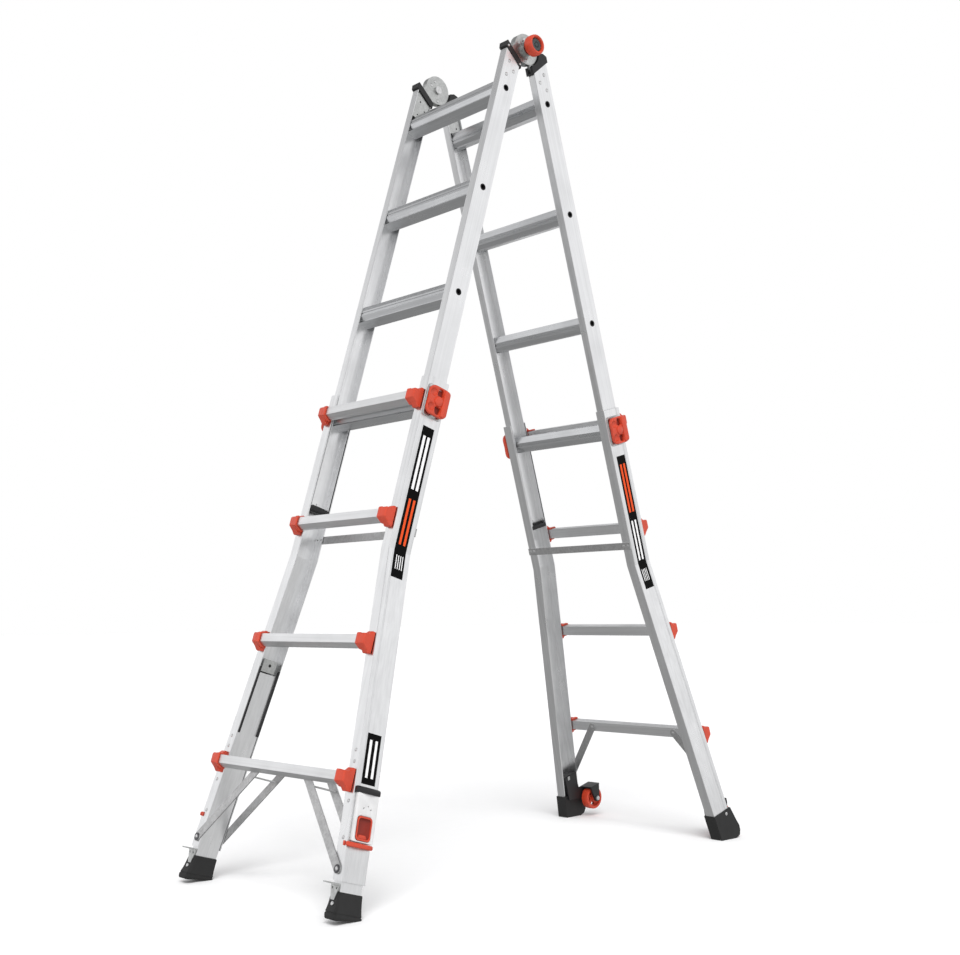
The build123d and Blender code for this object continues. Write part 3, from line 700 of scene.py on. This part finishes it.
# ------------------------------------------------------------------ rocking locks
# Outlines are (u, up) from the lock's middle, with u toward the front leg's climbing side and
# the rear leg's back; levels are (outward from the web, inset).
LEVER_EDGE = rounded([(-33, -37.5), (33, -37.5), (31, 0), (33, 37.5), (-33, 37.5)], [15, 20, 12, 20, 15])
LEVER_SKIRT_LEVELS = [(5.0, 4.6), (6.0, 2.2), (7.6, 0.9)]
LEVER_RIM_W, LEVER_RIM_DEPTH, LEVER_RIM_EDGE = 7.5, 8.4, 1.9
POCKETS = [
    rounded([(-12, y * 14), (-9, y * 32), (3, y * 33), (8, y * 17), (2, y * 13)], 3.5) for y in (1, -1)
]
POCKET_LEVELS = [(7.0, 0.2), (8.6, 0.2)]
DISH_CENTRES = ((19, 19), (19, -19))
DISH = [(9.8, 7.8), (9.8, 14.6), (9.2, 14.8), (7.8, 13.0), (5.4, 11.9), (2.5, 11.4), (0, 11.3)]
PRESS_BAR = rounded([(-31, -35), (-12, -35), (-11, 0), (-12, 35), (-31, 35)], [13, 4, 30, 4, 13])
PRESS_BAR_LEVELS = [(13.0, 0), (17.6, 0.2), (19.2, 1.1), (20.0, 2.9)]
DOME = [(13.0, 13.0), (12.9, 16.4), (11.8, 19.0), (9, 20.6), (4.8, 21.4), (0, 21.6)]
NECK = rounded([(-14, -8), (-2, -11), (8, -9), (8, 9), (-2, 11), (-14, 8)], 4)
NECK_LEVELS = [(13.0, 0), (16.6, 0.6), (17.6, 2.0)]

LOCK_PLATE = box_outline(RAIL_MID, -LOCK_S, 58, 83, 8)
LOCK_PLATE_LEVELS = [(0, 0), (2.3, 0), (3.0, 0.8)]
LOCK_EARS = [box_outline(RAIL_MID, -LOCK_S + v, 15, 10, 2) for v in (35.5, -35.5)]
LOCK_EAR_LEVELS = [(2.8, 0), (8.6, 0), (9.5, 1.2)]


def build_lock(leg, hand, side):
    """Lever with a press bar, a middle dome, two pockets and two finger dishes."""
    flip = 1 if leg.name == "front" else -1

    def seat(points):
        return [(RAIL_MID + flip * u, v - LOCK_S) for u, v in points]

    body = f"{leg.name}_lock_lever_{hand}"
    lever = Piece(f"{body}_moulding", body, "red_plastic", RED, RED_PAINTED_SHADE)
    web = on_web(leg, side, OUTER_HALF)
    lever.add(stack(seat(LEVER_EDGE), LEVER_SKIRT_LEVELS), web)
    holes = POCKETS + [circle(u, v, 9.5, 28) for u, v in DISH_CENTRES]
    rim = sheet([seat(o) for o in [LEVER_EDGE] + holes], LEVER_RIM_DEPTH, LEVER_RIM_EDGE)
    lever.add(rim, on_web(leg, side, OUTER_HALF + LEVER_RIM_W))
    for centre in seat(DISH_CENTRES):
        lever.add(lathe(DISH, 28, centre), web)
    # the pocket floors take the darker red: painted shade in the pockets
    for outline in POCKETS:
        lever.add(stack(seat(inset_outline(outline, -0.4)), POCKET_LEVELS), web, material=1)
    lever.add(stack(seat(PRESS_BAR), PRESS_BAR_LEVELS), web)
    lever.add(lathe(DOME, 40, seat([(1, 0)])[0]), web)
    lever.add(stack(seat(NECK), NECK_LEVELS), web)
    lever.done(body)


def build_housings(leg):
    """Plate under each lever, with an ear above and below."""
    piece = Piece(f"{leg.name}_lock_bases", f"{leg.name}_outer", "plate_steel", HOUSING)
    for _, side in SIDES:
        web = on_web(leg, side, OUTER_HALF)
        piece.add(stack(LOCK_PLATE, LOCK_PLATE_LEVELS), web)
        for ear in LOCK_EARS:
            piece.add(stack(ear, LOCK_EAR_LEVELS), web)
    piece.done(f"{leg.name}_lock_housings")


# ------------------------------------------------------------------ labels
LABEL_TOP = {"front": 1130, "rear": 1136}
LABEL_FOOT = {"front": 1511, "rear": 1518}
LABEL_N = (20, 56)
UPPER_BARS, LOWER_BARS, FINE_BARS = (24, 162), (186, 300), (326, 360)  # s from the label's top
LONG_BARS_N = (27, 41)
FINE_BARS_N = [26 + 6.4 * row for row in range(4)]
SMALL_LABEL_N, SMALL_LABEL_S = (17, 56), (1873, 1983)
SMALL_BARS_N, SMALL_BARS_S = (25, 41), (1887, 1969)
FILM = (0.02, 0.22)  # heights above the web
PRINT = (0.2, 0.34)
BLACK_FILM, RED_PRINT, WHITE_PRINT = range(3)  # places in the label's materials


def label_strip(piece, leg, n_range, stops, layer, material):
    """Film on the right web between the given s stops."""
    (n0, n1), (w0, w1) = n_range, layer
    slope = 0.15
    rings = []
    for s in stops:
        rings.append([(w0, n0, s), (w1, n0 + slope, s), (w1, n1 - slope, s), (w0, n1, s)])
    piece.add(loft(rings), on_flare(leg, 1), material=material)


def build_labels(leg):
    """Black strips with plain red and white bars on the right outer rail."""
    body = f"{leg.name}_outer"
    piece = Piece(f"{leg.name}_rail_labels", body, "black_plastic", LABEL, LABEL_RED, LABEL_WHITE)
    top, foot = LABEL_TOP[leg.name], LABEL_FOOT[leg.name]
    colours = (WHITE_PRINT, RED_PRINT) if leg.name == "front" else (RED_PRINT, WHITE_PRINT)

    def bar(n, wide, stops, colour):
        label_strip(piece, leg, (n, n + wide), stops, PRINT, colour)

    def below_top(stops):
        return [top + s for s in stops]

    label_strip(piece, leg, LABEL_N, (top, BEND, foot), FILM, BLACK_FILM)
    for n in LONG_BARS_N:
        bar(n, 8, below_top(UPPER_BARS), colours[0])
        bar(n, 7, below_top(LOWER_BARS), colours[1])
    for n in FINE_BARS_N:
        bar(n, 2.4, below_top(FINE_BARS), WHITE_PRINT)
    if leg.name == "front":
        label_strip(piece, leg, SMALL_LABEL_N, SMALL_LABEL_S, FILM, BLACK_FILM)
        for n in SMALL_BARS_N:
            bar(n, 7, SMALL_BARS_S, WHITE_PRINT)
    piece.done()


# ------------------------------------------------------------------ outer rivets and washers
STRAP_S = 1388.0
STRAP_RIVETS = (176.0, 191.0)  # x
BACK_BAR_FACE = 2.5  # n of the cross strap's and the back braces' outer faces
BRACE_FACE = 75.5  # n of the outer face of the braces on the climbing side
BRACE_FOOT = {"front": 2165.0, "rear": 2112.0}  # s
BRACE_FOOT_INSET = 16  # inward from the web's outer face
BRACE_HEAD = {"front": (89.0, 1976.0), "rear": (157.0, 1961.0)}  # (x, s)
FLANGE_RIVETS = (1915.0, 1940.0, 2024.0, 2100.0)  # s
FLANGE_RIVET_INSET = 14
FOOT_RIVET_N, FOOT_RIVET_S, FOOT_SKIN = 55, 2182, 2.6
WASHER = [(3, 0), (8.6, 0), (9.2, 0.4), (9.2, 0.9), (8.4, 1.4), (3, 1.4)]


def build_outer_rivets(leg):
    """Rivets of the cross strap, braces, front flange and rear feet."""
    body = f"{leg.name}_outer"
    piece = Piece(f"{body}_rivet_heads", body, "rivet_steel", RIVET, DARK_STEEL)
    foot_s = BRACE_FOOT[leg.name]
    head_x, head_s = BRACE_HEAD[leg.name]
    for _, side in SIDES:
        foot_x = side * (web_at(foot_s) - BRACE_FOOT_INSET)
        for x in STRAP_RIVETS:
            piece.add(rivet_head(side * x, -STRAP_S, r=4.8, height=1.3), on_back(leg, BACK_BAR_FACE))
        washer = lathe(WASHER, 32, (foot_x, -foot_s), hollow=True)
        piece.add(washer, on_face(leg, BRACE_FACE), material=1)
        piece.add(rivet_head(foot_x, -foot_s, r=5.2, height=2.8), on_face(leg, BRACE_FACE))
        piece.add(rivet_head(side * head_x, -head_s, r=4.4, height=1.2), on_back(leg, OUTER_FACE))
        if leg.name == "front":
            piece.add(rivet_head(foot_x, -foot_s, r=4.8, height=1.3), on_back(leg, BACK_BAR_FACE))
            for s in FLANGE_RIVETS:
                flange_x = side * (web_at(s) - FLANGE_RIVET_INSET)
                piece.add(rivet_head(flange_x, -s, r=4.0, height=1.5), on_face(leg, OUTER_FACE))
        else:
            foot_web = on_web(leg, side, web_at(FOOT_RIVET_S) + FOOT_SKIN)
            piece.add(rivet_head(FOOT_RIVET_N, -FOOT_RIVET_S, r=5.0, height=1.8), foot_web)
    piece.done(f"{leg.name}_outer_rivets")


# ------------------------------------------------------------------ levelers
TUBE_MID = -15.65  # middle of the leveler tube, from the web's outer face
BUTTON_AT = (39, -2075)  # (n, up)
BEZEL = [box_outline(*BUTTON_AT, 40.5, 50.5, 8), box_outline(*BUTTON_AT, 34, 43, 7)]
BEZEL_W, BEZEL_DEPTH, BEZEL_EDGE = 9.3, 2.6, 0.7
# wide, high, corner radius, outward from the web, shift upward
BUTTON_DISH = (
    (40, 50, 8, 4.4, 0),
    (40, 50, 8, 9.6, 0),
    (35, 44, 7, 9.6, 0),
    (30, 37, 7, 6.2, 1),
    (25, 30, 7, 5.0, 3),
)
BUTTON_RAMP = rounded([(26, -2098), (52, -2098), (49, -2088), (29, -2088)], 3)
BUTTON_RAMP_LEVELS = [(5.6, 0), (8.4, 0.8), (8.9, 2.2)]

# s, n of the middle, x width, n width, corner radius
BOOT_RINGS = (
    (2209, 39, 30.5, 63, 4),
    (2210, 39, 32, 65, 5),
    (2222, 39.4, 33.6, 67, 6),
    (2236, 40, 36, 69, 6),
    (2246, 40.8, 38.6, 73, 7),
    (2250.5, 41, 40, 75, 7),
    (2251.5, 41, 38.8, 73.8, 7),
    (2253, 41, 38.8, 73.8, 7),
    (2254.2, 41, 40.6, 76.4, 7),
    (2259, 41, 41, 77, 7),
    (2264, 41, 39, 75, 7),
    (2266, 41, 36, 71, 6),
)
BOOT_RIVET_S = 2234
BOOT_FACE, BOOT_FACE_SLOPE = 74.6, 0.18  # n at the rivet, and its growth per millimetre downward

COVER = box_outline(37, -2053, 58, 102, 3)
COVER_WINDOW = box_outline(*BUTTON_AT, 41.5, 51.5, 8)
COVER_HOLES = ((34, -2028), (46, -2033), (26, -2034))
COVER_DEPTH, COVER_EDGE = 10.0, 1.3
# Near-black block behind the cover's three small holes: painted shadow for the dark inside of the holes
HOLE_SHADOW_BLOCK = box_outline(38, -2030, 30, 16, 2)
HOLE_SHADOW_BLOCK_LEVELS = [(0.1, 0), (7.0, 0)]
CAP = arch(3, 70, 7, 14.5)
CAP_LEVELS = [(1989, 3.2), (1991, 0.6), (1993, 0), (2001, 0), (2002.4, 0.8)]
BAR = arch(3, 74.5, 5, 16.5)
BAR_LEVELS = [(2106, 2.2), (2107.2, 0.5), (2108.6, 0), (2112.6, 0), (2114.4, 0.6), (2115.6, 2.2)]
BAR_CLIP = rounded([(-9, 72.6), (-4, 72.6), (-4, 75.2), (-9, 75.2)], 0.8)
BAR_CLIP_LEVELS = [(2106, 0.4), (2107, 0), (2115, 0), (2116, 0.4)]


def build_leveler_button(leg, hand, side):
    """Dished release button with a raised bezel and a ramp at the bottom of the dish."""
    body = f"leveler_button_{hand}"
    web = on_flared_web(leg, side)
    button = Piece(f"{body}_moulding", body, "red_plastic", RED, RED_PAINTED_SHADE)
    button.add(sheet(BEZEL, BEZEL_DEPTH, BEZEL_EDGE), raised(web, BEZEL_W))
    n, up = BUTTON_AT
    rings = []
    for wide, high, r, w, shift in BUTTON_DISH:
        rings.append([(u, v, w) for u, v in box_outline(n, up + shift, wide, high, r)])
    # the dish takes the darker red: painted shade in the recess
    button.add(loft(rings), web, material=1)
    button.add(stack(BUTTON_RAMP, BUTTON_RAMP_LEVELS), web)
    button.done(body)


def build_leveler_boot(leg, hand, side):
    """Stepped rubber boot, its sole cut level with the floor."""

    def grounded(u, v, w):
        return leg.at(side * (web_at(w) + TUBE_MID + u), v, min(w, leg.ground(v)))

    def front_face(u, v, w):
        x = side * (web_at(BOOT_RIVET_S) + TUBE_MID) + u
        return leg.at(x, BOOT_FACE - (v + BOOT_RIVET_S) * BOOT_FACE_SLOPE + w, -v)

    foot = Piece(f"leveler_boot_{hand}", f"leveler_{hand}", "foot_rubber", RUBBER, RIVET)
    rings = []
    for s, middle, wide, deep, r in BOOT_RINGS:
        rings.append([(u, v, s) for u, v in box_outline(0, middle, wide, deep, r, 6)])
    foot.add(loft(rings), grounded)
    foot.add(rivet_head(0, -BOOT_RIVET_S, r=4.6, height=1.8), front_face, material=1)
    foot.done(f"leveler_foot_{hand}")


def build_leveler_covers(leg):
    """Pale covers around the buttons, black caps above them and red guard bars below."""
    body = f"{leg.name}_outer"
    cover = Piece("leveler_covers", body, "rail_aluminium", WHITE, SHADOW)
    caps = Piece("leveler_cap_mouldings", body, "black_plastic", BLACK)
    bars = Piece("leveler_bar_mouldings", body, "red_plastic", RED)
    openings = [COVER_WINDOW] + [circle(n, v, 1.5, 10) for n, v in COVER_HOLES]
    for _, side in SIDES:
        web = on_flared_web(leg, side)
        flare = on_flare(leg, side)
        cover.add(sheet([COVER] + openings, COVER_DEPTH, COVER_EDGE), web)
        # the block behind the small holes is painted shadow
        cover.add(stack(HOLE_SHADOW_BLOCK, HOLE_SHADOW_BLOCK_LEVELS), web, material=1)
        caps.add(stack(CAP, CAP_LEVELS), flare)
        bars.add(stack(BAR, BAR_LEVELS), flare)
        bars.add(stack(BAR_CLIP, BAR_CLIP_LEVELS), flare)
    cover.done("leveler_housings")
    caps.done("leveler_caps")
    bars.done("leveler_guard_bars")


# ------------------------------------------------------------------ wheels
WHEEL_X, WHEEL_N, WHEEL_S = 245.0, 97.0, 2206.0
TYRE_OUTSIDE = [
    (26.0, -12.4), (31.5, -13), (33.4, -11.6), (34, -8.5), (34, 8.5), (33.4, 11.6), (31.5, 13), (26.0, 12.4),
]
TYRE_INSIDE = [(25.6, 9), (25.2, 4), (25.2, -4), (25.6, -9)]
DISC_RADIUS, DISC_DEPTH, DISC_EDGE = 26.2, 10, 0.8
WINDOWS = 5
WINDOW_RADII = (13.5, 23.0)
WINDOW_TURN = (0.17, 0.83)  # share of its turn that a window takes
HUB = [(4.1, -15.4), (8.8, -15.4), (9.5, -14.6), (9.5, 14.6), (8.8, 15.4), (4.1, 15.4)]

BRACKET_BOLTS_S, BRACKET_BOLT_N = (2128, 2150), 50
BRACKET_FACE = 31  # inward from the web's outer face
BRACKET_BOLT = [(5.6, -0.2), (5.6, 1.2), (4.8, 2.2), (0, 2.4)]
BACKING_STRIP = rounded([(-33.4, 26), (-33.4, 35), (-30.8, 35), (-30.8, 26)], 0.4)
BACKING_STRIP_LEVELS = [(2114, 0.3), (2115, 0), (2164, 0), (2165, 0.3)]
AXLE_HEAD = [(6.8, -0.2), (6.8, 1.0), (5.6, 2.4), (2.5, 2.9), (0, 3.0)]
AXLE_OUTWARD, AXLE_INWARD = 20.6, 26.4  # from the wheel's middle to the heads


def wheel_window(k):
    """The k-th opening between two spokes."""
    a0, a1 = [2 * math.pi * (k + share) / WINDOWS for share in WINDOW_TURN]
    arc = [a0 + (a1 - a0) * i / 6 for i in range(7)]
    low, high = WINDOW_RADII
    outer = [(high * math.cos(a), high * math.sin(a)) for a in arc]
    inner = [(low * math.cos(a), low * math.sin(a)) for a in reversed(arc)]
    return outer + inner


def build_wheel(leg, hand, side):
    """Tyre, spoked disc and hub, in one moulding."""

    def about(u, v, w):
        return leg.at(side * (WHEEL_X + w), WHEEL_N + u, WHEEL_S - v)

    body = f"wheel_{hand}"
    wheel = Piece(f"{body}_moulding", body, "red_plastic", RED)
    wheel.add(lathe(TYRE_OUTSIDE + TYRE_INSIDE, 56, hollow=True), about)
    windows = [wheel_window(k) for k in range(WINDOWS)]
    disc = sheet([circle(0, 0, DISC_RADIUS, 56)] + windows, DISC_DEPTH, DISC_EDGE)
    wheel.add(disc, raised(about, -DISC_DEPTH / 2))
    wheel.add(lathe(HUB, 32, hollow=True), about)
    wheel.done(body)


def build_wheel_details(leg):
    """Bolts and backing strips of the wheel brackets, and the axles' heads."""
    piece = Piece("wheel_bracket_bolts", f"{leg.name}_outer", "rivet_steel", RIVET, ZINC)
    axle_at = (WHEEL_N, -WHEEL_S)
    for _, side in SIDES:
        for s in BRACKET_BOLTS_S:
            bracket = inside_web(leg, side, web_at(s) - BRACKET_FACE)
            piece.add(lathe(BRACKET_BOLT, 20, (BRACKET_BOLT_N, -s)), bracket)
        piece.add(stack(BACKING_STRIP, BACKING_STRIP_LEVELS), on_flare(leg, side), material=1)
        piece.add(lathe(AXLE_HEAD, 24, axle_at), on_web(leg, side, WHEEL_X + AXLE_OUTWARD))
        piece.add(lathe(AXLE_HEAD, 24, axle_at), inside_web(leg, side, WHEEL_X - AXLE_INWARD))
    piece.done()


# ------------------------------------------------------------------ the whole ladder
for leg in LEGS.values():
    build_inner_details(leg)
    build_guides(leg)
    build_hinge_details(leg)
    build_brackets(leg)
    build_housings(leg)
    build_labels(leg)
    build_outer_rivets(leg)
    for hand, side in SIDES:
        build_lock(leg, hand, side)
for hand, side in SIDES:
    build_knob(hand, side)
    build_leveler_button(LEGS["front"], hand, side)
    build_leveler_boot(LEGS["front"], hand, side)
    build_wheel(LEGS["rear"], hand, side)
build_leveler_covers(LEGS["front"])
build_wheel_details(LEGS["rear"])


# ------------------------------------------------------------------ camera, light, floor
CAMERA_AT = Vector((2.4915, -2.3386, 0.6426))
CAMERA_YAW, CAMERA_PITCH, CAMERA_ROLL = 0.8175, 0.1059, -0.0126  # radians
CAMERA_LENS, CAMERA_SENSOR = 47.4, 36.0
SUN_RAYS = Vector((-0.50, 0.42, -0.76))
# The sky's level by height, from 0 straight down over 0.5 at the horizon to 1 straight up
SKY = ((0.0, 0.38), (0.49, 0.38), (0.51, 0.96), (0.74, 0.98), (0.83, 0.42), (1.0, 0.46))
FLOOR_REACH = 40.0


def add_camera(scene):
    data = bpy.data.cameras.new("camera")
    camera = bpy.data.objects.new("camera", data)
    scene.collection.objects.link(camera)
    yaw, pitch, roll = CAMERA_YAW, CAMERA_PITCH, CAMERA_ROLL
    level = math.cos(pitch)
    ahead = Vector((-math.sin(yaw) * level, math.cos(yaw) * level, math.sin(pitch)))
    right = Vector((math.cos(yaw), math.sin(yaw), 0))
    up = right.cross(ahead)
    tilted_right = right * math.cos(roll) + up * math.sin(roll)
    tilted_up = up * math.cos(roll) - right * math.sin(roll)
    basis = Matrix((tilted_right, tilted_up, -ahead)).transposed().to_4x4()
    basis.translation = CAMERA_AT
    camera.matrix_world = basis
    data.lens = CAMERA_LENS
    data.sensor_width = CAMERA_SENSOR
    scene.camera = camera


def add_sun(scene):
    """Wide soft key light, kept out of the metal's reflections."""
    data = bpy.data.lights.new("key", "SUN")
    data.energy = 2.3
    data.angle = math.radians(38)
    sun = bpy.data.objects.new("key", data)
    sun.rotation_euler = SUN_RAYS.to_track_quat("-Z", "Y").to_euler()
    sun.visible_glossy = False
    scene.collection.objects.link(sun)


def add_world(scene):
    """Banded studio sky for light and reflections, and plain white for the camera."""
    world = bpy.data.worlds.new("studio")
    scene.world = world
    world.use_nodes = True
    nodes, links = world.node_tree.nodes, world.node_tree.links
    nodes.clear()
    out = nodes.new("ShaderNodeOutputWorld")
    path = nodes.new("ShaderNodeLightPath")
    seen = nodes.new("ShaderNodeBackground")
    seen.inputs["Color"].default_value = (1, 1, 1, 1)
    lit = nodes.new("ShaderNodeBackground")
    coords = nodes.new("ShaderNodeTexCoord")
    split = nodes.new("ShaderNodeSeparateXYZ")
    links.new(coords.outputs["Generated"], split.inputs["Vector"])
    height = nodes.new("ShaderNodeMapRange")
    height.inputs["From Min"].default_value = -1.0
    links.new(split.outputs["Z"], height.inputs["Value"])
    bands = nodes.new("ShaderNodeValToRGB")
    elements = bands.color_ramp.elements
    while len(elements) < len(SKY):
        elements.new(0.5)
    for element, (where, level) in zip(elements, SKY):
        element.position = where
        element.color = (level, level, level * 1.01, 1)
    links.new(height.outputs["Result"], bands.inputs["Fac"])
    links.new(bands.outputs["Color"], lit.inputs["Color"])
    mix = nodes.new("ShaderNodeMixShader")
    links.new(path.outputs["Is Camera Ray"], mix.inputs["Fac"])
    links.new(lit.outputs["Background"], mix.inputs[1])
    links.new(seen.outputs["Background"], mix.inputs[2])
    links.new(mix.outputs["Shader"], out.inputs["Surface"])


def floor_paint():
    """Matt white; seen in a reflection it gives a grey that grows darker toward one side."""
    paint = Shader("floor_paint")
    speck = paint.noise((30, 30, 30), detail=4)
    paint.set("Base Color", paint.mix(speck, (0.93, 0.93, 0.93), (0.96, 0.96, 0.96)))
    paint.set("Roughness", 1.0)
    paint.set("Specular IOR Level", 0.0)
    dim = paint.nodes.new("ShaderNodeEmission")
    arriving = paint.nodes.new("ShaderNodeNewGeometry")
    across = paint.nodes.new("ShaderNodeSeparateXYZ")
    paint.links.new(arriving.outputs["Incoming"], across.inputs["Vector"])
    strength = paint.ramp(across.outputs["X"], 0.64, 0.33, -0.62, -0.15)
    paint.links.new(strength, dim.inputs["Strength"])
    glance = paint.nodes.new("ShaderNodeLightPath")
    either = paint.nodes.new("ShaderNodeMixShader")
    paint.links.new(glance.outputs["Is Glossy Ray"], either.inputs["Fac"])
    paint.links.new(paint.bsdf.outputs["BSDF"], either.inputs[1])
    paint.links.new(dim.outputs["Emission"], either.inputs[2])
    surface = paint.nodes["Material Output"].inputs["Surface"]
    paint.links.new(either.outputs["Shader"], surface)
    return paint.material


def add_floor(scene):
    bm = bmesh.new()
    signs = ((-1, -1), (1, -1), (1, 1), (-1, 1))
    bm.faces.new([bm.verts.new((x * FLOOR_REACH, y * FLOOR_REACH, 0)) for x, y in signs])
    mesh = bpy.data.meshes.new("floor")
    bm.to_mesh(mesh)
    bm.free()
    floor = bpy.data.objects.new("floor", mesh)
    scene.collection.objects.link(floor)
    mesh.materials.append(floor_paint())


scene = bpy.context.scene
scene.view_settings.view_transform = "Standard"
add_camera(scene)
add_sun(scene)
add_world(scene)
add_floor(scene)
